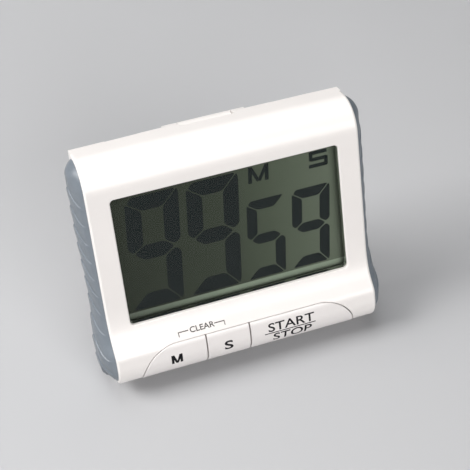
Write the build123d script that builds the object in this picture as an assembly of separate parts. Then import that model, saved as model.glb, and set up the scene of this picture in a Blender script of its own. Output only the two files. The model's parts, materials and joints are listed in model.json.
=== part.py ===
from build123d import *
from math import acos, cos, degrees, radians, sin
import os

# Digital kitchen timer. Millimetres.
# Everything is first drawn upright: X to the right, Y from the front face towards the back,
# Z up the case from its lowest point. place() then leans the case back on its stand.

# ---- driving dimensions ----
HALF_W = 39.6  # white housing, half width
HEIGHT = 69.3  # case height at the middle of the arched top
TOP_ARCH = 0.2  # how much lower the top edge is at the sides
DEPTH = 15.6  # flat front face to back face
PARTING = 11.6  # plane where housing and rear cover meet
PARTING_GAP = 0.02
WALL = 1.8
LIP = 4.5  # how far the button lip stands in front of the flat face
LIP_RADIUS = 7.5
LIP_CREST = 9.8  # top of the straight part of the lip
LIP_BLEND_TOP = 25.0  # height where the lip has faded into the flat face
TOP_RADIUS = 8.5  # front to top rounding
TOP_BACK_RADIUS = 4.0  # top to back rounding
HEEL_R = 1.5  # rounding of the back edges; the case rests on the lower one
EDGE_ROUND = 0.7
MOUTH_ROUND = 0.35  # rounding of the window's rim
LEAN = 18.34  # backward lean in degrees when the stand is open

WIN_HALF_W = 33.1
WIN_LOW = 18.6
WIN_HIGH = 58.2
WIN_CORNER = 1.2

KEYS_HALF_W = 32.7  # the three buttons share one outline
KEYS_TOP = 11.6
KEYS_CORNER = 11.0
KEY_SPLITS = (-13.0, 0.2)
KEY_GAP = 0.36  # between neighbouring buttons
KEY_CLEAR = 0.1  # the outline drawn in for the buttons, and out for their opening
KEY_TRAVEL = 0.8
KEY_UNDER = 5.6  # how far back the buttons reach under the case
KEY_BACK = 3.2  # where each button's push stem ends
KEY_PROUD = 0.15
KEY_ROUND = 0.2
KEY_SHELL = 1.6
KEY_SPANS = (
    ("minute_button", -60, KEY_SPLITS[0] - KEY_GAP / 2),
    ("second_button", KEY_SPLITS[0] + KEY_GAP / 2, KEY_SPLITS[1] - KEY_GAP / 2),
    ("start_stop_button", KEY_SPLITS[1] + KEY_GAP / 2, 60),
)
FLANGE_HALF_W = 26.5  # the retaining flanges stay clear of the rounded corners
DOME_SPOTS = (("minute", -22.5), ("second", -6.4), ("start_stop", 13.0))
DOME_Z = 6.2

GRIP_INSET = 0.9  # white border left around each grip
GRIP_BACK = 15.0
GRIP_ROUND = 2.1
# how far the grip stands out at each height: slim in the middle, wider towards the base
GRIP_FLANK = ((2.75, 69.5), (3.0, 50.0), (2.55, 28.0), (3.1, 17.5), (3.6, 11.0), (3.4, 0.0))

PIN_Y = 16.0
PIN_Z = 65.7
BARREL_R = 3.0
LUG_IN = 8.0
LUG_OUT = 12.0
PIN_R = 0.75
PIN_FIT = 0.05
STAND_REACH = 62.9  # hinge axis to the centre of the foot's round end
STAND_THICK = 2.2
FOOT_R = 1.3
FOOT_HALF_W = 12.8
STAND_HALF_W = 14.4
SHOULDER_HALF_W = 12.0
NECK_HALF_W = LUG_IN - 0.3
RECESS_Y = 14.4  # floor of the recess the closed stand folds into

PCB_Y = (6.8, 7.8)
CELL_X, CELL_Z = -25.5, 34.0
CELL_R, CELL_H = 5.8, 5.4
BUZZER_X, BUZZER_Z = 25.5, 34.0
CELL_Y = 6.75
WELL_R = 9.1
WELL_FLOOR = 5.7
DOOR_Y = DEPTH - 1.0
DOOR_R = 8.4
DOOR_TURN = 45.0
BUZZER_R = 8.0
BUZZER_SEAT = DEPTH - WALL - 0.6
MAGNET_R = 6.5
MAGNET_Z = 39.0
HANG_HOLE_R = 2.2
HANG_HOLE_Z = 10.5

CAPACITORS = ((-6, 26), (-6, 30), (12, 27), (12, 46))
CASE_SCREWS = ((-35.6, 14.4), (35.6, 14.4), (-34.6, 63.6), (34.6, 63.6))
BOARD_SCREWS = ((-29.6, 13.8), (29.6, 13.8), (-20.0, 64.0), (20.0, 64.0))

# ---- placing ----
HINGE_HEIGHT = (
    (PIN_Z - HEEL_R) * cos(radians(LEAN)) - (PIN_Y - DEPTH + HEEL_R) * sin(radians(LEAN)) + HEEL_R
)
OPEN_ANGLE = LEAN + degrees(acos((HINGE_HEIGHT - FOOT_R) / STAND_REACH))


def place(shape):
    """Upright case to the leaning pose: the rounded back edge of the base rests on the floor."""
    heel_z = HEEL_R * cos(radians(LEAN)) - (DEPTH - HEEL_R) * sin(radians(LEAN))
    return Pos(0, 0, HEEL_R - heel_z) * Rot(-LEAN, 0, 0) * shape


def open_stand(shape):
    """Swing a stand piece, drawn closed against the back, out about the hinge pin."""
    return Pos(0, PIN_Y, PIN_Z) * Rot(OPEN_ANGLE, 0, 0) * Pos(0, -PIN_Y, -PIN_Z) * shape


def save(shape, name):
    solids = shape.solids()
    body = solids[0] if len(solids) == 1 else Compound(children=list(solids))
    export_step(body, f"parts/{name}.step")


# ---- drawing helpers ----
def box(x0, x1, y0, y1, z0, z1):
    return Pos((x0 + x1) / 2, (y0 + y1) / 2, (z0 + z1) / 2) * Box(x1 - x0, y1 - y0, z1 - z0)


def rod(radius, x, z, y0, y1):
    """A round bar running front to back."""
    return Pos(x, (y0 + y1) / 2, z) * Rot(90, 0, 0) * Cylinder(radius, y1 - y0)


def bar(radius, y, z, x0, x1):
    """A round bar running left to right."""
    return Pos((x0 + x1) / 2, y, z) * Rot(0, 90, 0) * Cylinder(radius, x1 - x0)


def slab(sketch, y0, y1):
    """A front-view sketch given thickness from y0 back to y1."""
    return extrude(Plane.XZ.offset(-y0) * sketch, amount=y1 - y0, dir=(0, 1, 0))


def window_sketch(grow):
    width = 2 * (WIN_HALF_W + grow)
    height = WIN_HIGH - WIN_LOW + 2 * grow
    middle = (WIN_LOW + WIN_HIGH) / 2
    return Pos(0, middle) * RectangleRounded(width, height, max(WIN_CORNER + grow, 0.3))


def lip_body(inset, half_width):
    """The lower front of the case: flat base, round nose, then a long fade into the flat face."""
    nose = LIP_RADIUS - inset
    front = -LIP + inset
    with BuildPart() as body:
        with BuildSketch(Plane.YZ.offset(-half_width)):
            with BuildLine():
                base = Line((PARTING, inset), (LIP_RADIUS - LIP, inset))
                round_nose = RadiusArc(base @ 1, (front, LIP_RADIUS), nose)
                crest = Line(round_nose @ 1, (front, LIP_CREST - 0.3 * inset))
                fade = Bezier(
                    crest @ 1,
                    (front, 13.5 - 0.3 * inset),
                    (inset, 12.8 - 0.3 * inset),
                    (inset, LIP_BLEND_TOP),
                )
                top = Line(fade @ 1, (PARTING, LIP_BLEND_TOP))
                Line(top @ 1, base @ 0)
            make_face()
        extrude(amount=2 * half_width)
    return body.part


def upper_body(inset, half_width, back):
    """The flat part of the case with its arched top and the large rounding at the top front."""
    side_top = HEIGHT - TOP_ARCH - inset
    with BuildSketch() as outline:
        with BuildLine():
            left = Line((-half_width, LIP_BLEND_TOP - 1), (-half_width, side_top))
            arch = ThreePointArc(left @ 1, (0, HEIGHT - inset), (half_width, side_top))
            right = Line(arch @ 1, (half_width, LIP_BLEND_TOP - 1))
            Line(right @ 1, left @ 0)
        make_face()
    body = slab(outline.sketch, inset, back)
    top_front = body.edges().sort_by(Axis.Z).filter_by(lambda edge: edge.center().Y < inset + 0.01)[-1]
    return fillet(top_front, TOP_RADIUS - inset)


def keys_sketch(x0, x1, shrink):
    """The buttons' shared outline cut to the span x0..x1, drawn in by shrink."""
    half = KEYS_HALF_W - shrink
    top = KEYS_TOP - shrink
    low = -LIP
    with BuildSketch() as outline:
        with BuildLine():
            base = Line((half, low), (-half, low))
            left = Line(base @ 1, (-half, top - KEYS_CORNER))
            corner_l = RadiusArc(left @ 1, (-half + KEYS_CORNER, top), KEYS_CORNER)
            across = Line(corner_l @ 1, (half - KEYS_CORNER, top))
            corner_r = RadiusArc(across @ 1, (half, top - KEYS_CORNER), KEYS_CORNER)
            Line(corner_r @ 1, base @ 0)
        make_face()
    span = Pos((x0 + x1) / 2, 0) * Rectangle(x1 - x0, 60)
    return outline.sketch & span


# ---- housing ----
def front_housing():
    shell = lip_body(0, HALF_W) + upper_body(0, HALF_W, PARTING)
    rim = shell.edges().filter_by(lambda edge: abs(abs(edge.center().X) - HALF_W) < 0.01)
    rim = rim.filter_by(lambda edge: edge.center().Y < PARTING - 0.1 and not inner_seam(edge))
    shell = fillet(rim, EDGE_ROUND)
    shell -= slab(window_sketch(0), -1, 2 * WALL)
    shell = fillet(shell.edges().filter_by(on_window_rim), MOUTH_ROUND)
    inner = HALF_W - WALL
    shell -= Pos(0, 0.01, 0) * lip_body(WALL, inner)
    shell -= upper_body(WALL, inner, PARTING + 0.1)
    shell -= slab(keys_sketch(-HALF_W, HALF_W, -KEY_CLEAR), -2 * LIP, KEY_UNDER + KEY_TRAVEL + 0.6)
    for x, z in CASE_SCREWS:
        shell += rod(1.9, x, z, boss_root(z), PARTING - 0.4) - rod(0.85, x, z, 4, PARTING)
    for x, z in BOARD_SCREWS:
        shell += rod(1.6, x, z, boss_root(z), PCB_Y[0]) - rod(0.6, x, z, 3, PCB_Y[0])
    return shell


def boss_root(z):
    """Where a screw boss starts inside the front wall: further back near the rounded top."""
    return 3.0 if z > LIP_BLEND_TOP else -0.9


def inner_seam(edge):
    """The hidden joint line between the lip and the flat part, which isn't an outside edge."""
    middle = edge.center()
    return middle.Y > 0.2 and LIP_BLEND_TOP - 1.1 < middle.Z < LIP_BLEND_TOP + 0.1


def on_window_rim(edge):
    middle = edge.center()
    inside = abs(middle.X) < WIN_HALF_W + 0.1 and WIN_LOW - 0.1 < middle.Z < WIN_HIGH + 0.1
    return inside and middle.Y < WALL - 0.1 and edge.bounding_box().size.Y < 1.2


def rear_plate(inset, y0, y1):
    """A front-view slab with the case's arched outline, drawn in by inset."""
    half = HALF_W - inset
    with BuildSketch() as outline:
        with BuildLine():
            left = Line((-half, inset), (-half, HEIGHT - TOP_ARCH - inset))
            arch = ThreePointArc(left @ 1, (0, HEIGHT - inset), (half, HEIGHT - TOP_ARCH - inset))
            right = Line(arch @ 1, (half, inset))
            Line(right @ 1, left @ 0)
        make_face()
    return slab(outline.sketch, y0, y1)


def rear_cover():
    cover = rear_plate(0, PARTING + PARTING_GAP, DEPTH)
    back_edges = cover.edges().filter_by(lambda edge: edge.bounding_box().min.Y > DEPTH - 0.01)
    cover = fillet(back_edges, HEEL_R) - top_back_corner()
    cover -= rear_plate(WALL, PARTING - 1, DEPTH - WALL)
    cover += locating_rim()
    cover += box(-9.2, 9.2, PARTING + PARTING_GAP, DEPTH - WALL, 61.0, HEIGHT - 1)
    cover -= stand_recess()
    cover += box(-15.4, 15.4, RECESS_Y - 1.2, RECESS_Y, 0.9, 62.6) & rear_plate(0.4, 0, DEPTH)
    for side in (-1, 1):
        cover += Pos(side * (LUG_IN + LUG_OUT) / 2, 0, 0) * lug_block()
    cover -= stand_pin()
    for x, z in CASE_SCREWS:
        cover += rod(2.6, x, z, PARTING + PARTING_GAP, DEPTH - WALL + 0.1)
        cover -= rod(1.15, x, z, PARTING - 1, DEPTH)
        cover -= rod(2.1, x, z, DEPTH - 2.0, DEPTH + 1)
    return cell_well(buzzer_seat(cover))


def top_back_corner():
    """The material outside the rounding between the top and the back."""
    y, z = DEPTH - TOP_BACK_RADIUS, HEIGHT - TOP_BACK_RADIUS
    corner = box(-HALF_W - 1, HALF_W + 1, y, DEPTH + 1, z, HEIGHT + 1)
    return corner - bar(TOP_BACK_RADIUS, y, z, -HALF_W - 2, HALF_W + 2)


def locating_rim():
    """A ring on the cover that fits just inside the housing's wall."""
    ring = rear_plate(WALL + 0.15, PARTING - 1.2, DEPTH - WALL + 0.1)
    ring -= rear_plate(WALL + 1.15, PARTING - 2, DEPTH)
    for x, z in CASE_SCREWS:
        ring -= rod(2.2, x, z, PARTING - 2, PARTING)
    return ring


def buzzer_seat(cover):
    """A ring that holds the buzzer disc, and the holes that let its sound out."""
    cover += rod(BUZZER_R + 1.0, BUZZER_X, BUZZER_Z, BUZZER_SEAT, DEPTH - WALL + 0.1)
    cover -= rod(BUZZER_R - 0.6, BUZZER_X, BUZZER_Z, BUZZER_SEAT - 0.1, DEPTH - WALL)
    for x, z in sound_holes():
        cover -= rod(0.75, x, z, BUZZER_SEAT - 0.4, DEPTH + 1)
    return cover


def cell_well(cover):
    """The round pocket for the button cell, with a bayonet mouth for its door."""
    cover += rod(WELL_R, CELL_X, CELL_Z, WELL_FLOOR, DEPTH - WALL + 0.1)
    cover -= rod(CELL_R + 0.4, CELL_X, CELL_Z, WELL_FLOOR + 0.6, DEPTH)
    cover -= rod(7.9, CELL_X, CELL_Z, DOOR_Y - 2.4, DOOR_Y - 0.8)
    cover -= rod(6.7, CELL_X, CELL_Z, DOOR_Y - 1, DEPTH)
    cover -= rod(DOOR_R + 0.2, CELL_X, CELL_Z, DOOR_Y, DEPTH + 1)
    return cover - door_tabs(0.35, DOOR_Y - 1.0, DOOR_Y + 0.5)


def stand_recess():
    """The shallow bay that the closed stand folds into, open over the hinge and at the base."""
    bay = box(-15.2, 15.2, RECESS_Y, DEPTH + 3, -1, 62.4)
    throat = box(-LUG_IN, LUG_IN, PIN_Y - BARREL_R - 0.35, DEPTH + 4, 61.5, HEIGHT + 1)
    return bay + throat


def lug_block():
    """One ear of the stand hinge: a round end on a foot that runs into the cover."""
    width = LUG_OUT - LUG_IN
    ear = bar(BARREL_R, PIN_Y, PIN_Z, -width / 2, width / 2)
    root = box(-width / 2, width / 2, DEPTH - WALL, PIN_Y, PIN_Z - BARREL_R, PIN_Z + BARREL_R)
    root += box(-width / 2, width / 2, DEPTH - WALL, PIN_Y, 61.6, PIN_Z)
    return ear + root


def sound_holes():
    spots = [(BUZZER_X, BUZZER_Z)]
    for turn in range(6):
        angle = radians(60 * turn)
        spots.append((BUZZER_X + 3.4 * cos(angle), BUZZER_Z + 3.4 * sin(angle)))
    return spots


def grip_side_view():
    """The grip seen from the side: the case's outline drawn in, with a round top."""
    centre_z = HEIGHT - TOP_RADIUS
    half_w = HALF_W + 10
    view = lip_body(GRIP_INSET, half_w)
    view += box(-half_w, half_w, GRIP_INSET, GRIP_BACK, LIP_BLEND_TOP - 1, centre_z)
    view += box(-half_w, half_w, PARTING - 1, GRIP_BACK, GRIP_INSET, centre_z)
    round_top = bar(TOP_RADIUS - GRIP_INSET, TOP_RADIUS, centre_z, -half_w, half_w)
    return view + (round_top & box(-half_w, half_w, 0, GRIP_BACK, centre_z - 1, HEIGHT))


def grip(side):
    """A soft side grip with a rounded border, slim in the middle and wider towards the base."""
    points = [(HALF_W + out, z) for out, z in GRIP_FLANK]
    with BuildSketch() as outline:
        with BuildLine():
            flank = Spline(points)
            Polyline(flank @ 1, (HALF_W, points[-1][1]), (HALF_W, points[0][1]), flank @ 0)
        make_face()
    pad = slab(outline.sketch, -LIP, DEPTH) & grip_side_view()
    outer = pad.edges().filter_by(lambda edge: edge.bounding_box().min.X > HALF_W + 1)
    pad = fillet(outer, GRIP_ROUND)
    if side < 0:
        pad = mirror(pad, about=Plane.YZ)
    return pad


# ---- display ----
def display_lens():
    pane = slab(window_sketch(-0.1), 0.45, WALL + 0.15)
    flange = slab(window_sketch(1.3), WALL + 0.1, WALL + 0.8)
    return pane + flange


def lens_adhesive():
    return slab(window_sketch(1.2), WALL, WALL + 0.1) - slab(window_sketch(0.3), 0, 5)


def lcd_plate(y0, y1, low, high):
    return box(-34.6, 34.6, y0, y1, low, high)


def lcd_holder():
    frame = box(-36.0, 36.0, WALL + 0.9, 6.6, 16.0, 61.4)
    frame -= box(-33.5, 33.5, 0, 10, WIN_LOW - 0.4, WIN_HIGH + 0.6)
    frame -= box(-34.7, 34.7, 3.2, 10, 16.8, 60.8)
    for x, z in CASE_SCREWS:
        frame -= rod(2.1, x, z, 0, 10)
    return frame


# ---- electronics ----
def circuit_board():
    board = box(-36.6, 36.6, PCB_Y[0], PCB_Y[1], 3.0, 66.4)
    for x, z in CASE_SCREWS:
        board -= rod(2.3, x, z, 0, 20)
    for x, z in BOARD_SCREWS:
        board -= rod(0.8, x, z, 0, 20)
    board -= rod(WELL_R + 0.4, CELL_X, CELL_Z, 0, 20)
    return board


def silicone_dome(x):
    y_top = KEY_BACK + 0.35
    base = rod(4.0, x, DOME_Z, PCB_Y[0] - 0.8, PCB_Y[0])
    cone = rod(2.6, x, DOME_Z, y_top, PCB_Y[0] - 0.8)
    return base + cone - rod(1.5, x, DOME_Z, y_top + 1.2, PCB_Y[0])


def button(x0, x1, dome_x):
    """A shell that follows the lip and wraps under the base, with a push stem and a flange."""
    face = keys_sketch(x0, x1, KEY_CLEAR)
    solid = lip_body(-KEY_PROUD, 60) & slab(face, -LIP - 2, KEY_UNDER)
    solid = fillet(solid.edges().filter_by(on_key_front), KEY_ROUND)
    inner = keys_sketch(x0 + 1.2, x1 - 1.2, 1.4)
    hollow = lip_body(KEY_SHELL, 60) & slab(inner, -LIP, KEY_UNDER + 1)
    shell = solid - Pos(0, 0.005, 0) * hollow
    stem = rod(1.7, dome_x, DOME_Z, -LIP + 1.2, KEY_BACK)
    left = max(x0, -FLANGE_HALF_W) + 1.0
    right = min(x1, FLANGE_HALF_W) - 1.0
    flange = box(left, right, 0.6, 1.6, 8.0, 13.4)
    web = box(left, right, -LIP + 1.0, 1.6, 8.0, 8.8)
    return shell + stem + flange + web


def on_key_front(edge):
    """True for the outline edges of a button's pressed face."""
    size = edge.bounding_box().size
    return edge.bounding_box().min.Y < -0.5 and (size.X < 0.01 or size.X > 0.5)


def zebra_strip(low):
    return box(-33.4, 33.4, 4.2, PCB_Y[0], low, low + 2.0)


def chip_epoxy():
    seat = (Align.CENTER, Align.CENTER, Align.MIN)
    blob = Pos(4, PCB_Y[1], 38) * Rot(-90, 0, 0) * Cone(5.0, 3.2, 1.6, align=seat)
    return fillet(blob.edges().sort_by(Axis.Y)[-1], 0.8)


def crystal_can():
    return Pos(2.0, PCB_Y[1] + 1.1, 24) * Cylinder(1.0, 6.0)


def board_capacitors():
    low, high = PCB_Y[1], PCB_Y[1] + 0.9
    blocks = [box(x, x + 2.0, low, high, z, z + 1.25) for x, z in CAPACITORS]
    return Compound(children=[block.solid() for block in blocks])


def button_cell():
    can = rod(CELL_R, CELL_X, CELL_Z, CELL_Y + 0.6, CELL_Y + CELL_H)
    can = fillet(can.edges().sort_by(Axis.Y)[-1], 0.5)
    return can + rod(CELL_R - 1.0, CELL_X, CELL_Z, CELL_Y, CELL_Y + 0.6)


def battery_contact_negative():
    low, high = WELL_FLOOR + 0.6, WELL_FLOOR + 0.8
    plate = box(CELL_X - 4, CELL_X + 4, low, high, CELL_Z - 1.5, CELL_Z + 1.5)
    return plate + rod(1.2, CELL_X, CELL_Z, high, CELL_Y)


def battery_contact_positive():
    low, high = WELL_FLOOR + 1.4, WELL_FLOOR + 6.2
    return box(CELL_X - 1.2, CELL_X + 1.2, low, high, CELL_Z + CELL_R, CELL_Z + CELL_R + 0.2)


def door_tabs(grow, y0, y1):
    """The two bayonet tabs of the battery door, or their entry notches when grown."""
    ring = rod(7.5 + grow, CELL_X, CELL_Z, y0, y1) - rod(5.5, CELL_X, CELL_Z, y0, y1)
    turn = Pos(CELL_X, 0, CELL_Z) * Rot(0, DOOR_TURN if grow else 0, 0)
    return ring & (turn * box(-12, 12, y0, y1, -2 - grow, 2 + grow))


def battery_door():
    disc = rod(DOOR_R, CELL_X, CELL_Z, DOOR_Y + 0.02, DEPTH)
    disc = fillet(disc.edges().sort_by(Axis.Y)[-1], 0.25)
    disc += rod(6.4, CELL_X, CELL_Z, DOOR_Y - 2.1, DOOR_Y + 0.1)
    disc -= rod(5.4, CELL_X, CELL_Z, DOOR_Y - 3, DOOR_Y - 0.6)
    disc += door_tabs(0, DOOR_Y - 1.9, DOOR_Y - 1.1)
    coin_slot = box(CELL_X - 5.5, CELL_X + 5.5, DEPTH - 0.7, DEPTH + 1, CELL_Z - 0.8, CELL_Z + 0.8)
    return disc - coin_slot


def buzzer_disc():
    return rod(BUZZER_R - 0.1, BUZZER_X, BUZZER_Z, BUZZER_SEAT - 0.25, BUZZER_SEAT)


def buzzer_ceramic():
    return rod(BUZZER_R - 2.2, BUZZER_X, BUZZER_Z, BUZZER_SEAT - 0.45, BUZZER_SEAT - 0.25)


# ---- stand ----
def stand():
    """Barrel between the case lugs, then a plate that widens to the foot."""
    foot_z = PIN_Z - STAND_REACH
    front, back = PIN_Y - STAND_THICK / 2, PIN_Y + STAND_THICK / 2
    barrel = bar(BARREL_R, PIN_Y, PIN_Z, -NECK_HALF_W, NECK_HALF_W)
    neck_z = PIN_Z - BARREL_R - 2.0
    with BuildSketch() as outline:
        with BuildLine():
            Polyline(
                (-NECK_HALF_W, PIN_Z),
                (-NECK_HALF_W, neck_z),
                (-SHOULDER_HALF_W, neck_z - 3.0),
                (-STAND_HALF_W, foot_z + 3.0),
                (-FOOT_HALF_W, foot_z),
                (FOOT_HALF_W, foot_z),
                (STAND_HALF_W, foot_z + 3.0),
                (SHOULDER_HALF_W, neck_z - 3.0),
                (NECK_HALF_W, neck_z),
                (NECK_HALF_W, PIN_Z),
                close=True,
            )
        make_face()
    foot = bar(FOOT_R, PIN_Y, foot_z, -FOOT_HALF_W, FOOT_HALF_W)
    body = slab(outline.sketch, front, back) + barrel + foot
    body -= rod(MAGNET_R + 0.05, 0, MAGNET_Z, front + 0.6, back + 4)
    body -= rod(HANG_HOLE_R, 0, HANG_HOLE_Z, 0, 30)
    return body - bar(PIN_R + PIN_FIT, PIN_Y, PIN_Z, -20, 20)


def stand_pin():
    return bar(PIN_R, PIN_Y, PIN_Z, -LUG_OUT + 0.6, LUG_OUT - 0.6)


def magnet():
    front = PIN_Y - STAND_THICK / 2 + 0.6
    return rod(MAGNET_R, 0, MAGNET_Z, front, PIN_Y + STAND_THICK / 2 + 0.3)


# ---- screws ----
def screw(x, z, seat, length, shank_r, head_r, head_h):
    body = rod(head_r, x, z, seat, seat + head_h) + rod(shank_r, x, z, seat - length, seat)
    return (body - box(x - head_r, x + head_r, seat + head_h - 0.5, seat + 5, z - 0.2, z + 0.2)).solid()


def case_screws():
    screws = [screw(x, z, DEPTH - 2.0, 8.0, 0.85, 1.9, 1.0) for x, z in CASE_SCREWS]
    return Compound(children=screws)


def board_screws():
    screws = [screw(x, z, PCB_Y[1], 3.8, 0.6, 1.5, 0.7) for x, z in BOARD_SCREWS]
    return Compound(children=screws)


def all_pieces():
    pieces = {
        "front_housing": front_housing(),
        "rear_cover": rear_cover(),
        "left_grip": grip(-1),
        "right_grip": grip(1),
        "display_lens": display_lens(),
        "lens_adhesive": lens_adhesive(),
        "lcd_front_polariser": lcd_plate(3.25, 3.4, 19.0, 60.6),
        "lcd_front_glass": lcd_plate(3.4, 4.2, 17.0, 60.6),
        "lcd_rear_glass": lcd_plate(4.2, 5.0, 19.6, 58.0),
        "lcd_reflector": lcd_plate(5.0, 5.15, 19.8, 57.8),
        "lcd_holder": lcd_holder(),
        "zebra_strip_bottom": zebra_strip(17.2),
        "zebra_strip_top": zebra_strip(58.4),
        "circuit_board": circuit_board(),
        "chip_epoxy": chip_epoxy(),
        "crystal_can": crystal_can(),
        "board_capacitors": board_capacitors(),
        "buzzer_disc": buzzer_disc(),
        "buzzer_ceramic": buzzer_ceramic(),
        "button_cell": button_cell(),
        "battery_contact_negative": battery_contact_negative(),
        "battery_contact_positive": battery_contact_positive(),
        "battery_door": battery_door(),
        "stand_pin": stand_pin(),
        "case_screws": case_screws(),
        "board_screws": board_screws(),
    }
    for (name, dome_x), (key, x0, x1) in zip(DOME_SPOTS, KEY_SPANS):
        pieces[f"{name}_dome"] = silicone_dome(dome_x)
        pieces[key] = button(x0, x1, dome_x)
    pieces["stand"] = open_stand(stand())
    pieces["magnet"] = open_stand(magnet())
    return pieces


def main():
    os.makedirs("parts", exist_ok=True)
    placed = {node: place(shape) for node, shape in all_pieces().items()}
    solids = [solid for shape in placed.values() for solid in shape.solids()]
    whole = Compound(children=solids).bounding_box()
    middle_y = (whole.min.Y + whole.max.Y) / 2
    for node, shape in placed.items():
        save(Pos(0, -middle_y, 0) * shape, node)
    print("stand opens", round(OPEN_ANGLE, 3), "degrees; frame moved back by", round(middle_y, 4))


main()
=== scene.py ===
import json
import math

import bmesh
import bpy
from mathutils import Matrix, Vector


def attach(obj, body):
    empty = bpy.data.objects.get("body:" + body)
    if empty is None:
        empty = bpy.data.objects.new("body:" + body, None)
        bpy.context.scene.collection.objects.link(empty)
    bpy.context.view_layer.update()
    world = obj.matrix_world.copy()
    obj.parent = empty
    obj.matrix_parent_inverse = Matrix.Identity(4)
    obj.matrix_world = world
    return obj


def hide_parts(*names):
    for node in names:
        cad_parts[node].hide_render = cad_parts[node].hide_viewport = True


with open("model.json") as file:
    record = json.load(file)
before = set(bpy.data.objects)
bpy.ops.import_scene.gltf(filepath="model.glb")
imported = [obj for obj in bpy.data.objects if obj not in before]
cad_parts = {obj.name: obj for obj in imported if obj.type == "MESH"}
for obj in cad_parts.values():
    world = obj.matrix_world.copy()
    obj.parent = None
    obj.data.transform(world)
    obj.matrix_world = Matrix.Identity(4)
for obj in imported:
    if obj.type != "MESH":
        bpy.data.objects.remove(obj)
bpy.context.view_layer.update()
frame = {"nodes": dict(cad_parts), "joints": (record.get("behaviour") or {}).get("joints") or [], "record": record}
nodes = frame["nodes"]
joints = {joint["name"]: joint for joint in frame["joints"]}

# ---------------------------------------------------------------- the case's own frame
# Shapes are written upright in millimetres: x to the right, y back from the flat face,
# z up the case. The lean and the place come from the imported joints.
PIN_Y, PIN_Z = 16.0, 65.7
BACKWARD = Vector(joints["minute_press"]["axis"])
UPWARD = BACKWARD.cross(Vector((1, 0, 0))) * -1
HINGE = Vector(joints["stand_hinge"]["pos_m"])

HALF_W = 39.6
LIP = 4.5
LIP_RADIUS = 7.5
LIP_CREST = 9.8
BLEND_LOW_HANDLE = 13.5
BLEND_HIGH_HANDLE = 12.8
LIP_BLEND_TOP = 25.0
TOP_RADIUS = 8.5
TOP_CENTRE_Z = 60.8
KEY_PROUD = 0.15


def case(x, y, z):
    """A point of the upright case, in mm, as a point of the leaning model, in metres."""
    return HINGE + Vector((x, 0, 0)) * 0.001 + BACKWARD * (y - PIN_Y) * 0.001 + UPWARD * (z - PIN_Z) * 0.001


def bezier(points, t):
    a, b, c, d = points
    return a * (1 - t) ** 3 + 3 * b * t * (1 - t) ** 2 + 3 * c * t * t * (1 - t) + d * t**3


def face_y(z, inset=0.0):
    """Depth of the white front surface at height z, moved inwards by inset."""
    front = -LIP + inset
    if z < LIP_RADIUS:
        drop = min(LIP_RADIUS - z, LIP_RADIUS - inset - 1e-6)
        return LIP_RADIUS - LIP - math.sqrt((LIP_RADIUS - inset) ** 2 - drop**2)
    drop = 0.3 * inset
    if z < LIP_CREST - drop:
        return front
    if z < LIP_BLEND_TOP:
        heights = (LIP_CREST - drop, BLEND_LOW_HANDLE - drop, BLEND_HIGH_HANDLE - drop, LIP_BLEND_TOP)
        low, high = 0.0, 1.0
        for _ in range(30):
            t = (low + high) / 2
            if bezier(heights, t) < z:
                low = t
            else:
                high = t
        return bezier((front, front, inset, inset), t)
    if z < TOP_CENTRE_Z:
        return inset
    rise = min(z - TOP_CENTRE_Z, TOP_RADIUS - inset - 1e-6)
    return TOP_RADIUS - math.sqrt((TOP_RADIUS - inset) ** 2 - rise**2)


# ---------------------------------------------------------------- materials
def srgb(red, green, blue):
    """Screen values 0 to 255 as linear colour."""
    out = []
    for value in (red, green, blue):
        v = value / 255
        out.append(v / 12.92 if v <= 0.04045 else ((v + 0.055) / 1.055) ** 2.4)
    return (*out, 1.0)


class Look:
    """A procedural material: a Principled shader with noise in colour, roughness and bump."""

    def __init__(self, name):
        self.material = bpy.data.materials.new(name)
        self.material.use_nodes = True
        self.tree = self.material.node_tree
        self.shader = self.tree.nodes["Principled BSDF"]
        self.where = self.tree.nodes.new("ShaderNodeTexCoord").outputs["Object"]

    def link(self, source, target):
        self.tree.links.new(source, target)

    def noise(self, scale, detail=3.0, stretch=None):
        node = self.tree.nodes.new("ShaderNodeTexNoise")
        node.inputs["Scale"].default_value = scale
        node.inputs["Detail"].default_value = detail
        where = self.where
        if stretch:
            mapping = self.tree.nodes.new("ShaderNodeMapping")
            mapping.inputs["Scale"].default_value = stretch
            self.link(where, mapping.inputs["Vector"])
            where = mapping.outputs["Vector"]
        self.link(where, node.inputs["Vector"])
        return node.outputs["Fac"]

    def ramp(self, source, stops):
        node = self.tree.nodes.new("ShaderNodeValToRGB")
        ramp = node.color_ramp
        while len(ramp.elements) < len(stops):
            ramp.elements.new(0.5)
        for element, (place, colour) in zip(ramp.elements, stops):
            element.position = place
            element.color = colour
        self.link(source, node.inputs["Fac"])
        return node.outputs["Color"]

    def spread(self, source, low, high):
        node = self.tree.nodes.new("ShaderNodeMapRange")
        node.inputs["From Min"].default_value = 0.3
        node.inputs["From Max"].default_value = 0.7
        node.inputs["To Min"].default_value = low
        node.inputs["To Max"].default_value = high
        self.link(source, node.inputs["Value"])
        return node.outputs["Result"]

    def mottle(self, colour, scale, amount):
        """Base colour that drifts by amount either side of colour."""
        dark = tuple(c * (1 - amount) for c in colour[:3]) + (1.0,)
        light = tuple(min(1.0, c * (1 + amount)) for c in colour[:3]) + (1.0,)
        self.link(self.ramp(self.noise(scale), [(0.3, dark), (0.7, light)]), self.shader.inputs["Base Color"])

    def rough(self, low, high, scale):
        self.link(self.spread(self.noise(scale), low, high), self.shader.inputs["Roughness"])

    def bump(self, height, strength, distance):
        node = self.tree.nodes.new("ShaderNodeBump")
        node.inputs["Strength"].default_value = strength
        node.inputs["Distance"].default_value = distance
        self.link(height, node.inputs["Height"])
        self.link(node.outputs["Normal"], self.shader.inputs["Normal"])


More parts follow.
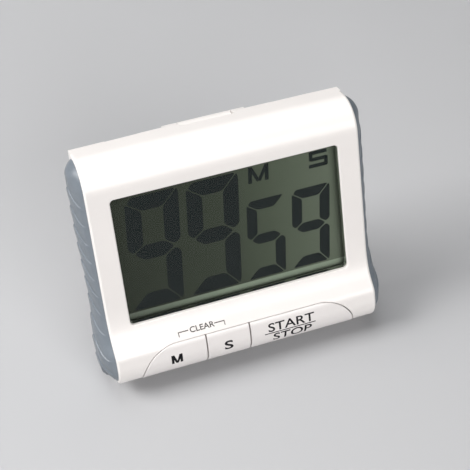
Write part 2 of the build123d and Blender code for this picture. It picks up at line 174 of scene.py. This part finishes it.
def plastic(name, colour, rough, grain_scale=2600, grain=0.12, coat=0.0):
    look = Look(name)
    look.mottle(colour, 60, 0.015)
    look.rough(rough - 0.05, rough + 0.06, 900)
    look.bump(look.noise(grain_scale, 4), grain, 0.00004)
    look.shader.inputs["Coat Weight"].default_value = coat
    look.shader.inputs["Coat Roughness"].default_value = 0.12
    return look.material


def soft_touch(name, colour):
    look = Look(name)
    look.mottle(colour, 240, 0.05)
    look.rough(0.32, 0.44, 1500)
    look.bump(look.noise(4200, 4), 0.15, 0.00003)
    return look.material


def metal(name, colour, rough, stretch=(1, 1, 1)):
    look = Look(name)
    look.mottle(colour, 300, 0.03)
    look.rough(rough - 0.03, rough + 0.05, 600)
    look.bump(look.noise(2000, 3, stretch), 0.06, 0.000005)
    look.shader.inputs["Metallic"].default_value = 1.0
    return look.material


def ink(name, colour):
    look = Look(name)
    look.mottle(colour, 1500, 0.08)
    look.rough(0.5, 0.62, 2000)
    look.bump(look.noise(2500, 2), 0.05, 0.000005)
    look.shader.inputs["Specular IOR Level"].default_value = 0.1
    return look.material


def clear_pane(name, tint, ior):
    """Clear sheet: light goes straight through, and only the mirror reflection is added."""
    look = Look(name)
    look.tree.nodes.remove(look.shader)
    through = look.tree.nodes.new("ShaderNodeBsdfTransparent")
    through.inputs["Color"].default_value = tint
    shine = look.tree.nodes.new("ShaderNodeBsdfGlossy")
    look.link(look.spread(look.noise(500), 0.02, 0.06), shine.inputs["Roughness"])
    facing = look.tree.nodes.new("ShaderNodeFresnel")
    facing.inputs["IOR"].default_value = ior
    mix = look.tree.nodes.new("ShaderNodeMixShader")
    look.link(facing.outputs["Fac"], mix.inputs[0])
    look.link(through.outputs["BSDF"], mix.inputs[1])
    look.link(shine.outputs["BSDF"], mix.inputs[2])
    look.link(mix.outputs["Shader"], look.tree.nodes["Material Output"].inputs["Surface"])
    look.material.surface_render_method = "BLENDED"
    return look.material


def display_green(name, stops):
    """Olive display colour with painted shade and light: the ramp runs from darker at the left to lighter at the
    right, as the light and reflections on it do, with a fine silvery grain.
    """
    look = Look(name)
    split = look.tree.nodes.new("ShaderNodeSeparateXYZ")
    look.link(look.where, split.inputs["Vector"])
    span = look.tree.nodes.new("ShaderNodeMapRange")
    span.inputs["From Min"].default_value = -0.036
    span.inputs["From Max"].default_value = 0.036
    look.link(split.outputs["X"], span.inputs["Value"])
    wander = look.tree.nodes.new("ShaderNodeMath")
    wander.operation = "MULTIPLY_ADD"
    look.link(look.noise(3000, 3), wander.inputs[0])
    wander.inputs[1].default_value = 0.06
    look.link(span.outputs["Result"], wander.inputs[2])
    look.link(look.ramp(wander.outputs["Value"], stops), look.shader.inputs["Base Color"])
    look.rough(0.5, 0.62, 3000)
    look.bump(look.noise(5000, 3), 0.05, 0.000004)
    look.shader.inputs["Specular IOR Level"].default_value = 0.1
    return look.material


WHITE = srgb(243, 239, 236)
LOOKS = {
    "white_shell": plastic("white_moulding", WHITE, 0.36, coat=0.15),
    "white_key": plastic("white_button", srgb(239, 235, 233), 0.34, coat=0.15),
    "grey_grip": soft_touch("grip_rubber", srgb(117, 125, 133)),
    "clear_lens": clear_pane("lens_acrylic", srgb(246, 248, 246), 1.2),
    "lcd_glass": clear_pane("display_glass", srgb(236, 240, 232), 1.45),
    "lcd_film": plastic("display_film", srgb(84, 92, 78), 0.5),
    "holder_plastic": plastic("holder_moulding", srgb(70, 72, 62), 0.55),
    "zebra_rubber": soft_touch("zebra_strip", srgb(40, 40, 44)),
    "silicone": soft_touch("silicone_dome", srgb(205, 205, 200)),
    "board": plastic("board_mask", srgb(20, 92, 48), 0.3, 900, 0.3),
    "epoxy": plastic("epoxy_blob", srgb(18, 18, 19), 0.2, 300, 0.3),
    "ceramic": plastic("piezo_ceramic", srgb(214, 208, 190), 0.5),
    "capacitor": plastic("capacitor_body", srgb(168, 132, 92), 0.45),
    "brass": metal("buzzer_brass", srgb(214, 178, 104), 0.3),
    "steel": metal("plated_steel", srgb(190, 192, 196), 0.3, (1, 6, 1)),
    "cell_steel": metal("cell_can", srgb(205, 206, 208), 0.22),
    "magnet_metal": metal("magnet_nickel", srgb(150, 150, 154), 0.28),
    "adhesive": ink("adhesive_tape", srgb(36, 36, 38)),
}
PRINT = ink("printed_ink", srgb(30, 30, 33))
FINE_PRINT = ink("fine_printed_ink", srgb(96, 94, 92))
SEGMENT = ink("liquid_crystal", srgb(35, 42, 44))
# Painted shade and light: the display's colour runs from darker at the left to lighter at the right, as the light
# and reflections on it do.
DISPLAY_PAINTED_SHADE = display_green(
    "display_reflector_painted_shade",
    [
        (0.0, srgb(52, 57, 48)),
        (0.5, srgb(74, 80, 69)),
        (0.7, srgb(99, 107, 92)),
        (1.0, srgb(130, 138, 123)),
    ],
)
# Painted light: a lighter band at the display's foot stands in for light bounced up from the window's lower wall;
# it too is painted darker at the left, where it lies in shade.
PAINTED_GLOW_BAND = display_green(
    "display_painted_glow",
    [
        (0.0, srgb(110, 116, 107)),
        (0.5, srgb(182, 193, 176)),
        (1.0, srgb(186, 197, 180)),
    ],
)

slots = {part["node"]: part["material_slot"] for part in frame["record"]["subparts"]}
for name, node in nodes.items():
    node.data.materials.clear()
    node.data.materials.append(LOOKS[slots[name]])


# ---------------------------------------------------------------- mesh helpers
def mesh_object(name, points, faces, material, smooth=True):
    mesh = bpy.data.meshes.new(name)
    mesh.from_pydata([tuple(p) for p in points], [], faces)
    mesh.update()
    tidy = bmesh.new()
    tidy.from_mesh(mesh)
    bmesh.ops.recalc_face_normals(tidy, faces=tidy.faces)
    tidy.to_mesh(mesh)
    tidy.free()
    for polygon in mesh.polygons:
        polygon.use_smooth = smooth
    mesh.materials.append(material)
    piece = bpy.data.objects.new(name, mesh)
    bpy.context.scene.collection.objects.link(piece)
    return piece


def join(pieces, name):
    bpy.ops.object.select_all(action="DESELECT")
    for piece in pieces:
        piece.select_set(True)
    bpy.context.view_layer.objects.active = pieces[0]
    bpy.ops.object.join()
    pieces[0].name = name
    return pieces[0]


def plate(name, outline, y_front, y_back, material):
    """A closed plate with a polygon outline in the case's front view."""
    count = len(outline)
    points = [case(x, y_front, z) for x, z in outline] + [case(x, y_back, z) for x, z in outline]
    faces = [list(range(count)), list(range(2 * count - 1, count - 1, -1))]
    for i in range(count):
        j = (i + 1) % count
        faces.append([i, j, j + count, i + count])
    return mesh_object(name, points, faces, material, smooth=False)


# ---------------------------------------------------------------- grips
GRIP_INSET = 0.9
GRIP_BACK = 15.0
GRIP_LOW = 0.9
GRIP_LIFT = 0.05
GRIP_SKIRT = 0.4
GRIP_COLUMNS = 60
PLAIN_ROWS = 40
GRIP_ROUND = TOP_RADIUS - GRIP_INSET
GRIP_TOP = TOP_CENTRE_Z + GRIP_ROUND
SCALE_EDGES = (57.2, 51.5, 45.6, 39.9, 34.4, 29.0, 23.3, 17.1, 10.1, 5.6)
SCALE_STEP = 0.27
WIDE_REACH = 7.0
NOSE_REACH = 8.0
TOP_REACH = 3.8
TIGHT_REACH = 3.2
SWELL_ROUND = 1.2286
SWELL_FLAT = math.sqrt(SWELL_ROUND**2 - 1)


def smoothstep(low, high, value):
    t = min(max((value - low) / (high - low), 0.0), 1.0)
    return t * t * (3 - 2 * t)


def swell(distance, reach):
    """Rise of a rounded border, 0 at its edge and 1 once clear of it by reach."""
    t = min(max(distance / reach, 0.0), 1.0)
    return (math.sqrt(SWELL_ROUND**2 - (1 - t) ** 2) - SWELL_FLAT) / (SWELL_ROUND - SWELL_FLAT)


def rounded_border(y, z):
    """The grip's rise at a point: tight rounding at the round top and the base, wide elsewhere."""
    rise = swell(GRIP_BACK - y, WIDE_REACH)
    if z > TOP_CENTRE_Z:
        away = max(math.hypot(y - TOP_RADIUS, z - TOP_CENTRE_Z), 1e-6)
        upright = (z - TOP_CENTRE_Z) / away
        reach = WIDE_REACH - (WIDE_REACH - TOP_REACH) * smoothstep(0.3, 0.95, upright)
        return rise * swell(GRIP_ROUND - away, reach)
    if z < LIP_RADIUS and y < LIP_RADIUS - LIP:
        nose = math.hypot(y - LIP_RADIUS + LIP, z - LIP_RADIUS)
        return rise * swell(LIP_RADIUS - GRIP_INSET - nose, NOSE_REACH)
    return rise * swell(y - face_y(z, GRIP_INSET), WIDE_REACH) * swell(z - GRIP_LOW, TIGHT_REACH)


def full_swell(z):
    """How far the grip stands out at mid depth: slim in the middle, wider towards the base."""
    return 2.75 - 0.4 * smoothstep(50, 28, z) + 1.0 * smoothstep(26, 11, z) - 0.3 * smoothstep(8, 2, z)


def scale_rise(depth):
    """How much higher a scale's edge is, this far back from the grip's border."""
    return 5.2 * (1 - math.exp(-0.0304 * depth**2.2))


def scale_relief(row, depth, width):
    """Each scale stands proud at its upper edge and fades down to the next one."""
    if row > SCALE_EDGES[0] or row <= GRIP_LOW:
        return 0.0
    ends = SCALE_EDGES[1:] + (GRIP_LOW,)
    top, bottom = next(pair for pair in zip(SCALE_EDGES, ends) if row > pair[1])
    part = (top - row) / (top - bottom)
    lift = smoothstep(0.0, 0.06, part) * (1 - smoothstep(0.05, 0.95, part)) ** 0.8
    margins = smoothstep(0.5, 1.3, depth) * smoothstep(0.5, 1.3, width - depth)
    return SCALE_STEP * lift * margins


def grip_rows():
    """Heights at the border: fine rows beside each scale's edge, even rows elsewhere."""
    rows = [GRIP_TOP - i * (GRIP_TOP - SCALE_EDGES[0]) / PLAIN_ROWS for i in range(PLAIN_ROWS)]
    parts = (0.0, 0.012, 0.025, 0.04, 0.06, 0.09, 0.13, 0.2, 0.3, 0.42, 0.55, 0.68, 0.8, 0.9, 0.97)
    for top, bottom in zip(SCALE_EDGES, SCALE_EDGES[1:] + (GRIP_LOW,)):
        rows += [top - (top - bottom) * part for part in parts]
    return rows + [GRIP_LOW]


def grip_span(z):
    """Front and back limits of the grip at height z."""
    if z > TOP_CENTRE_Z:
        half = math.sqrt(max(GRIP_ROUND**2 - (z - TOP_CENTRE_Z) ** 2, 0.0))
        return TOP_RADIUS - half, min(GRIP_BACK, TOP_RADIUS + half)
    front = face_y(z, GRIP_INSET)
    return max(front, -3.0) if z < 3.0 else front, GRIP_BACK


def build_grip(name, side):
    """The moulded skin of one grip: overlapping scales that point upwards at mid depth."""
    columns = [0.5 - 0.5 * math.cos(math.pi * i / GRIP_COLUMNS) for i in range(GRIP_COLUMNS + 1)]
    nominal = GRIP_BACK - GRIP_INSET
    rows = grip_rows()
    points, faces = [], []
    for row in rows:
        fade = smoothstep(GRIP_LOW, 9.0, row) * smoothstep(GRIP_TOP, 56.0, row)
        for t in columns:
            depth = t * nominal
            z = min(row + scale_rise(min(depth, nominal - depth)) * fade, GRIP_TOP)
            front, back = grip_span(z)
            y = front + t * (back - front)
            out = full_swell(z) * rounded_border(y, z) + scale_relief(row, depth, nominal)
            points.append(case(side * (HALF_W + GRIP_LIFT + out), y, z))
    wide = len(columns)
    for i in range(len(rows) - 1):
        for j in range(wide - 1):
            a = i * wide + j
            faces.append([a, a + 1, a + wide + 1, a + wide])
    rim = list(range(wide))
    rim += [i * wide + wide - 1 for i in range(1, len(rows))]
    rim += [(len(rows) - 1) * wide + j for j in range(wide - 2, -1, -1)]
    rim += [i * wide for i in range(len(rows) - 2, 0, -1)]
    base = len(points)
    for index in rim:
        points.append(points[index] - Vector((side * GRIP_SKIRT, 0, 0)) * 0.001)
    for k in range(len(rim)):
        after = (k + 1) % len(rim)
        faces.append([rim[k], rim[after], base + after, base + k])
    faces.append([base + k for k in range(len(rim))])
    piece = mesh_object(name, points, faces, LOOKS["grey_grip"])
    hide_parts("left_grip" if side < 0 else "right_grip")
    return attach(piece, "case")


build_grip("left_grip_skin", -1)
build_grip("right_grip_skin", 1)

# ---------------------------------------------------------------- display
FACE_Y = 4.1
SHEET_THICK = 0.2
SHEET_HALF_W = 34.6
SHEET_LOW = 17.0
SHEET_TOP = 60.6
GLOW_BAND_TOP = 19.8
INK_THICK = 0.04
INK_GAP = 0.005
SLANT = 0.078
DIGIT_LOW = 20.2
BIG_TOP = 55.7
BIG_THICK = 4.9
SMALL_TOP = 45.5
SMALL_THICK = 3.4
SEGMENT_GAP = 0.14
SEGMENT_ROUND = 1.1


def display_sheet(name, low, high, material):
    """A flat sheet of the display between two heights."""
    outline = [(-SHEET_HALF_W, low), (SHEET_HALF_W, low), (SHEET_HALF_W, high), (-SHEET_HALF_W, high)]
    piece = plate(name, outline, FACE_Y, FACE_Y + SHEET_THICK, material)
    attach(piece, "case")
    return piece


# The display face carries painted shade and light; the band below it is a sheet of painted light.
display_face = display_sheet("display_face", GLOW_BAND_TOP, SHEET_TOP, DISPLAY_PAINTED_SHADE)
display_sheet("display_painted_glow_band", SHEET_LOW, GLOW_BAND_TOP, PAINTED_GLOW_BAND)
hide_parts("lcd_front_polariser", "lcd_front_glass")


def ink_plate(name, outline):
    return plate(name, outline, FACE_Y - INK_THICK, FACE_Y - INK_GAP, SEGMENT)


def finish_ink(pieces, name):
    piece = join(pieces, name)
    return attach(piece, "case")


def digit_segments(left, right, bottom, top, thick):
    """The seven segments of a digit as outlines, with mitred ends and cut corners."""
    middle = (top + bottom) / 2
    half = thick / 2
    tip = 0.36 * thick
    cut = 0.38 * thick
    corner = 0.1 * thick
    low_in, high_in = bottom + thick, top - thick
    left_in, right_in = left + thick, right - thick
    return {
        "a": [
            (left + corner, top - cut),
            (left + cut, top),
            (right - corner, top),
            (right_in, high_in),
            (left_in, high_in),
        ],
        "b": [
            (right_in, high_in),
            (right - corner, top),
            (right, top - cut),
            (right, middle + cut),
            (right - tip, middle + 0.08 * thick),
            (right_in, middle + half),
        ],
        "c": [
            (right_in, middle - half),
            (right - tip, middle - 0.08 * thick),
            (right, middle - cut),
            (right, bottom + cut),
            (right - corner, bottom),
            (right_in, low_in),
        ],
        "d": [(left, bottom), (right - corner, bottom), (right_in, low_in), (left_in, low_in)],
        "f": [
            (left, middle + cut),
            (left + tip, middle + 0.04 * thick),
            (left_in, middle + half),
            (left_in, high_in),
            (left + corner, top - cut),
            (left, top - 1.2 * cut),
        ],
        "g": [
            (left + tip, middle),
            (left_in, middle + half),
            (right_in, middle + half),
            (right - tip, middle),
            (right_in, middle - half),
            (left_in, middle - half),
        ],
    }


def shrink(outline, amount):
    """Move every side of a convex outline inwards by amount."""
    count = len(outline)
    pairs = [(outline[i], outline[(i + 1) % count]) for i in range(count)]
    if sum(p[0] * q[1] - q[0] * p[1] for p, q in pairs) < 0:
        outline = outline[::-1]
    result = []
    for i in range(count):
        before, here, after = (Vector(outline[(i + k) % count]) for k in (-1, 0, 1))
        first = (here - before).normalized()
        second = (after - here).normalized()
        inward_a = Vector((-first.y, first.x))
        inward_b = Vector((-second.y, second.x))
        result.append(here + (inward_a + inward_b) * (amount / (1 + inward_a.dot(inward_b))))
    return result


def round_corners(outline, radius, steps=5):
    """Replace each corner of an outline by a small curve, less at blunt corners."""
    count = len(outline)
    result = []
    for i in range(count):
        before, here, after = (Vector(outline[(i + k) % count]) for k in (-1, 0, 1))
        reach = min(radius, (before - here).length * 0.4, (after - here).length * 0.4)
        start = here + (before - here).normalized() * reach
        end = here + (after - here).normalized() * reach
        for k in range(steps + 1):
            t = k / steps
            result.append(start * (1 - t) ** 2 + here * 2 * t * (1 - t) + end * t * t)
    return result


def slanted(outline):
    """Lean an outline over to the right, as the digits do."""
    return [(p.x + (p.y - DIGIT_LOW) * SLANT, p.y) for p in outline]


def build_digit(name, left, right, top, thick, lit):
    """A digit of joined segment plates, its left and right given at the base."""
    shapes = digit_segments(left, right, DIGIT_LOW, top, thick)
    pieces = []
    for key in lit:
        outline = round_corners(shrink(shapes[key], SEGMENT_GAP), SEGMENT_ROUND * thick / BIG_THICK)
        pieces.append(ink_plate(f"{name}_{key}", slanted(outline)))
    return finish_ink(pieces, name)


NINE = "abcdfg"
FIVE = "acdfg"
build_digit("digit_tens_of_minutes", -31.35, -15.6, BIG_TOP, BIG_THICK, NINE)
build_digit("digit_minutes", -13.7, 1.95, BIG_TOP, BIG_THICK, NINE)
build_digit("digit_tens_of_seconds", 3.85, 15.7, SMALL_TOP, SMALL_THICK, FIVE)
build_digit("digit_seconds", 17.55, 29.45, SMALL_TOP, SMALL_THICK, NINE)


def display_strokes(name, strokes):
    """A squared display letter of straight strokes, each given as two ends and a width."""
    pieces = []
    for k, (start, end, width) in enumerate(strokes):
        start, end = Vector(start), Vector(end)
        along = (end - start).normalized() * 0.5 * width
        across = Vector((-along.y, along.x))
        bar = [start - across, end - across, end + across, start + across]
        pieces.append(ink_plate(f"{name}_{k}", bar))
    return finish_ink(pieces, name)


display_strokes(
    "display_letter_minutes",
    [
        ((7.75, 50.9), (8.15, 55.9), 1.15),
        ((12.7, 50.9), (13.1, 55.9), 1.15),
        ((8.3, 55.6), (10.25, 51.2), 1.0),
        ((12.9, 55.6), (10.45, 51.2), 1.0),
    ],
)
display_strokes(
    "display_letter_seconds",
    [
        ((25.5, 51.5), (31.0, 51.5), 1.1),
        ((30.7, 51.2), (30.85, 53.9), 1.1),
        ((26.2, 53.5), (31.0, 53.5), 1.1),
        ((26.2, 53.2), (26.35, 55.9), 1.1),
        ((26.1, 55.5), (31.2, 55.5), 1.1),
    ],
)


# ---------------------------------------------------------------- lettering
PRINT_FRONT = 0.012
PRINT_BACK = 0.03
STRIP = 0.35


def text_mesh(name, words, weight):
    """Flat letters as a mesh in their own plane, centred on the baseline's middle."""
    curve = bpy.data.curves.new(name, "FONT")
    curve.body = words
    curve.offset = weight
    curve.align_x = "CENTER"
    curve.resolution_u = 6
    holder = bpy.data.objects.new(name + "_curve", curve)
    bpy.context.scene.collection.objects.link(holder)
    bpy.context.view_layer.update()
    flat = bpy.data.meshes.new_from_object(holder.evaluated_get(bpy.context.evaluated_depsgraph_get()))
    bpy.data.objects.remove(holder)
    work = bmesh.new()
    work.from_mesh(flat)
    return work


def slice_across(work):
    """Cut flat letters into level strips, so that they can bend over the lip."""
    low = min(v.co.y for v in work.verts)
    high = max(v.co.y for v in work.verts)
    level = low + STRIP
    while level < high:
        geometry = list(work.verts) + list(work.edges) + list(work.faces)
        bmesh.ops.bisect_plane(work, geom=geometry, plane_co=(0, level, 0), plane_no=(0, 1, 0))
        level += STRIP


def lettering(name, words, x, z, height, width, weight, body, material):
    """Printed letters laid on the front surface, standing a hair off it."""
    work = text_mesh(name, words, weight)
    tall = max(v.co.y for v in work.verts)
    wide = max(v.co.x for v in work.verts) - min(v.co.x for v in work.verts)
    for v in work.verts:
        v.co.y *= height / tall
        v.co.x *= width / wide
    slice_across(work)
    lay_on_face(work, x, z, body)
    return finish_print(work, name, body, material)


def lay_on_face(work, x, z, body):
    """Bend flat print onto the front surface, or onto a button that stands proud of it."""
    proud = 0.0 if body == "case" else KEY_PROUD
    thick = bmesh.ops.extrude_face_region(work, geom=list(work.faces))
    raised = [item for item in thick["geom"] if isinstance(item, bmesh.types.BMVert)]
    lifted = set(raised)
    for v in work.verts:
        height = z + v.co.y
        level = proud + (PRINT_FRONT if v in lifted else -PRINT_BACK)
        v.co = case(x + v.co.x, face_y(height, -level), height)


def finish_print(work, name, body, material):
    """Turn finished print into a piece of its body."""
    bmesh.ops.recalc_face_normals(work, faces=work.faces)
    mesh = bpy.data.meshes.new(name)
    work.to_mesh(mesh)
    work.free()
    mesh.materials.append(material)
    piece = bpy.data.objects.new(name, mesh)
    bpy.context.scene.collection.objects.link(piece)
    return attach(piece, body)


def block_letter(name, strokes, body, material):
    """A bold printed letter made of four-sided strokes, given by their corners in (x, z)."""
    work = bmesh.new()
    for stroke in strokes:
        work.faces.new([work.verts.new((x, z, 0)) for x, z in stroke])
    slice_across(work)
    lay_on_face(work, 0, 0, body)
    return finish_print(work, name, body, material)


def ruled_line(name, start, end, width, body, material):
    """A thin printed line on the front surface from one (x, z) to another."""
    work = bmesh.new()
    start, end = Vector(start), Vector(end)
    along = (end - start).normalized()
    across = Vector((-along.y, along.x)) * width / 2
    steps = max(2, int((end - start).length / 0.4))
    rows = []
    for k in range(steps + 1):
        here = start.lerp(end, k / steps)
        rows.append([work.verts.new((*(here + across), 0)), work.verts.new((*(here - across), 0))])
    for a, b in zip(rows, rows[1:]):
        work.faces.new((a[0], b[0], b[1], a[1]))
    lay_on_face(work, 0, 0, body)
    return finish_print(work, name, body, material)


block_letter(
    "letter_minutes",
    [
        [(-23.97, 4.95), (-23.22, 4.95), (-23.22, 7.95), (-23.97, 7.95)],
        [(-21.38, 4.95), (-20.63, 4.95), (-20.63, 7.95), (-21.38, 7.95)],
        [(-22.62, 4.95), (-22.0, 4.95), (-23.05, 7.95), (-23.97, 7.95)],
        [(-22.6, 4.95), (-21.98, 4.95), (-20.63, 7.95), (-21.55, 7.95)],
    ],
    "minute_key",
    PRINT,
)
lettering("letter_seconds", "S", -6.65, 4.85, 3.05, 2.6, 0.022, "second_key", PRINT)
lettering("word_start", "START", 12.7, 6.85, 2.85, 14.3, 0.012, "start_stop_key", PRINT)
lettering("word_stop", "STOP", 13.0, 2.9, 2.95, 12.0, 0.012, "start_stop_key", PRINT)
ruled_line("divider", (4.4, 6.3), (20.2, 6.3), 0.3, "start_stop_key", PRINT)
lettering("word_clear", "CLEAR", -13.45, 12.95, 1.35, 7.4, 0.018, "case", FINE_PRINT)
ruled_line("clear_line_left", (-20.6, 13.65), (-17.5, 13.65), 0.24, "case", FINE_PRINT)
ruled_line("clear_drop_left", (-20.5, 13.75), (-20.5, 12.6), 0.24, "case", FINE_PRINT)
ruled_line("clear_line_right", (-9.7, 13.65), (-6.7, 13.65), 0.24, "case", FINE_PRINT)
ruled_line("clear_drop_right", (-6.7, 13.75), (-6.7, 12.6), 0.24, "case", FINE_PRINT)

# ---------------------------------------------------------------- stage, light and camera
PALE = srgb(186, 187, 189)
FLOOR_HALF = 4.0


def build_floor():
    """A plain pale floor, wider than any view of the timer."""
    look = Look("pale_floor")
    look.mottle(PALE, 3, 0.02)
    look.rough(0.5, 0.62, 40)
    look.bump(look.noise(300, 3), 0.05, 0.0002)
    mesh = bpy.data.meshes.new("floor")
    corner_signs = ((-1, -1), (1, -1), (1, 1), (-1, 1))
    mesh.from_pydata([(i * FLOOR_HALF, j * FLOOR_HALF, 0) for i, j in corner_signs], [], [(0, 1, 2, 3)])
    mesh.materials.append(look.material)
    floor = bpy.data.objects.new("floor", mesh)
    bpy.context.scene.collection.objects.link(floor)


def area_light(name, place, target, size, power, colour=(1, 1, 1)):
    lamp = bpy.data.lights.new(name, "AREA")
    lamp.shape = "RECTANGLE"
    lamp.size, lamp.size_y = size
    lamp.energy = power
    lamp.color = colour
    holder = bpy.data.objects.new(name, lamp)
    holder.location = place
    holder.rotation_euler = (Vector(target) - Vector(place)).to_track_quat("-Z", "Y").to_euler()
    bpy.context.scene.collection.objects.link(holder)


def build_world():
    world = bpy.data.worlds.new("studio")
    bpy.context.scene.world = world
    world.use_nodes = True
    background = world.node_tree.nodes["Background"]
    background.inputs["Color"].default_value = (0.86, 0.88, 0.92, 1)
    background.inputs["Strength"].default_value = 0.06


def build_camera():
    """A long lens well above the display, to the left, looking down and to the right."""
    place = Vector((-0.08701, -0.26193, 0.31526))
    yaw, pitch, roll = 0.3387, 0.8061, -0.0049
    ahead = Vector((math.sin(yaw) * math.cos(pitch), math.cos(yaw) * math.cos(pitch), -math.sin(pitch)))
    level = Vector((math.cos(yaw), -math.sin(yaw), 0))
    above = level.cross(ahead)
    right = level * math.cos(roll) + above * math.sin(roll)
    up = above * math.cos(roll) - level * math.sin(roll)
    lens = bpy.data.cameras.new("camera")
    lens.sensor_width = 36.0
    lens.lens = 103.63
    lens.clip_start = 0.01
    camera = bpy.data.objects.new("camera", lens)
    turn = Matrix((right, up, -ahead)).transposed().to_4x4()
    camera.matrix_world = Matrix.Translation(place) @ turn
    bpy.context.scene.collection.objects.link(camera)
    bpy.context.scene.camera = camera


build_floor()
build_world()
area_light("overhead", (-0.1, 0.05, 0.95), (0, 0, 0.03), (0.6, 0.6), 2.5)
area_light("back", (0.0, 0.55, 0.8), (0, 0, 0.04), (0.7, 0.5), 1.5)
area_light("left_key", (-0.7, 0.1, 0.7), (0, 0, 0.03), (0.5, 0.5), 8.6, (1.0, 0.985, 0.975))
area_light("front_fill", (0.1, -0.9, 0.55), (0, 0, 0.03), (0.8, 0.5), 6.4, (1.0, 0.98, 0.97))
build_camera()
bpy.context.scene.view_settings.view_transform = "Standard"
